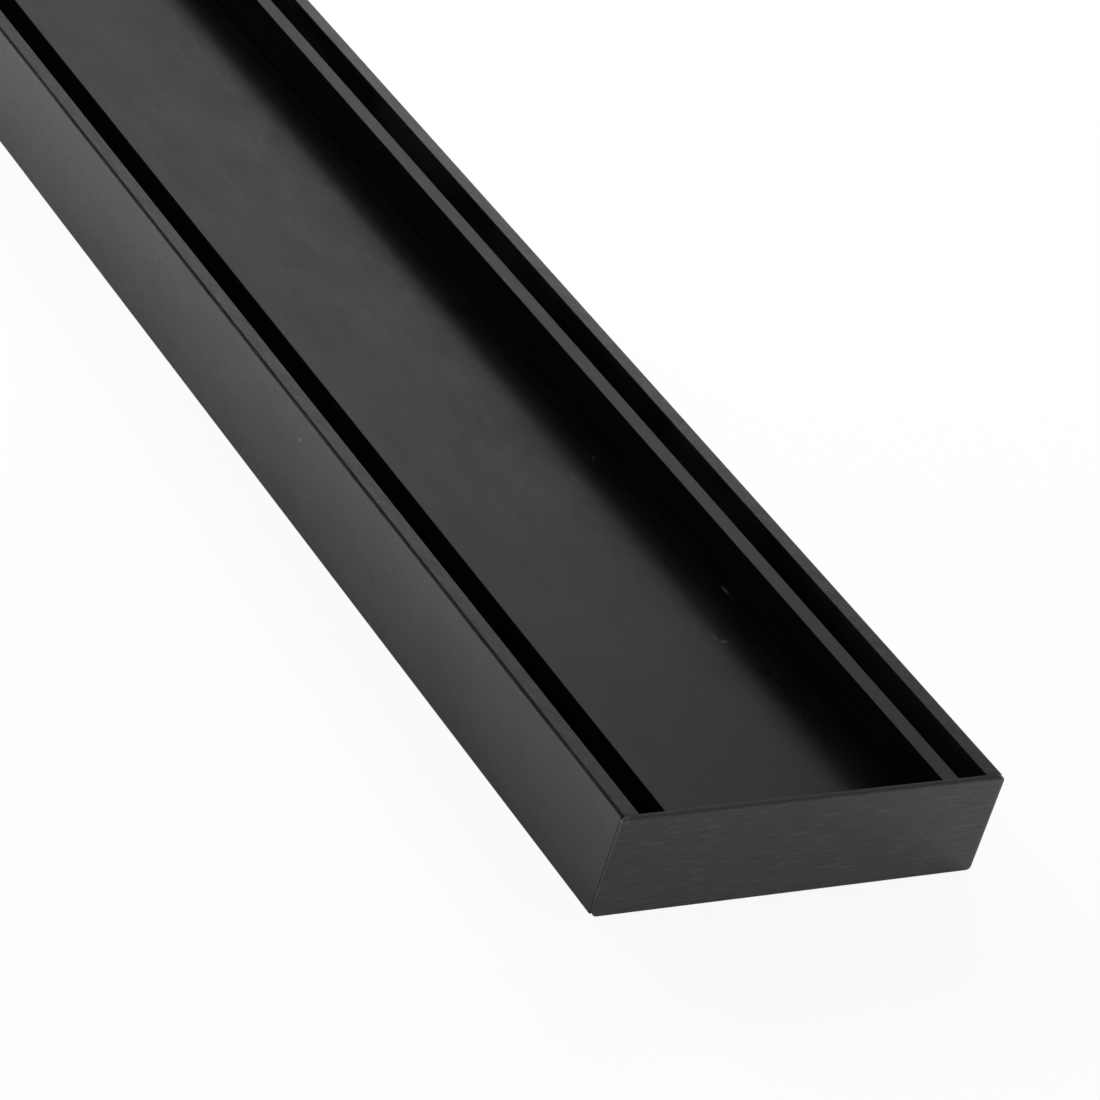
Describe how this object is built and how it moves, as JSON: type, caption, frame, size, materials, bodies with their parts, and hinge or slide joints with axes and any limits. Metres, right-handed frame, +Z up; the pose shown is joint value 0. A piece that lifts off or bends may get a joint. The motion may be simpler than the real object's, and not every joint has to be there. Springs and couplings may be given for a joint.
{
  "type": "channel drain",
  "caption": "Low linear channel drain: an extruded U channel with end plates and a loose tray that holds a strip of tile, leaving a slot on each side for the water.",
  "frame": {"origin": "middle of the channel's underside, halfway between the two end plates", "axes": "+X along the channel's length, +Y across its width, +Z up out of its open top"},
  "size_m": [0.9, 0.1, 0.026],
  "materials": {
    "channel": "black anodised, satin, with a fine grain along its length",
    "tile_tray": "black anodised, satin, with a fine grain along its length",
    "end_plate": "black anodised over a coarser brushing across the drain's width"
  },
  "bodies": {
    "root": {"channel": "channel", "tile_tray": "tile_tray", "end_plate_left": "end_plate", "end_plate_right": "end_plate"}
  },
  "joints": []
}
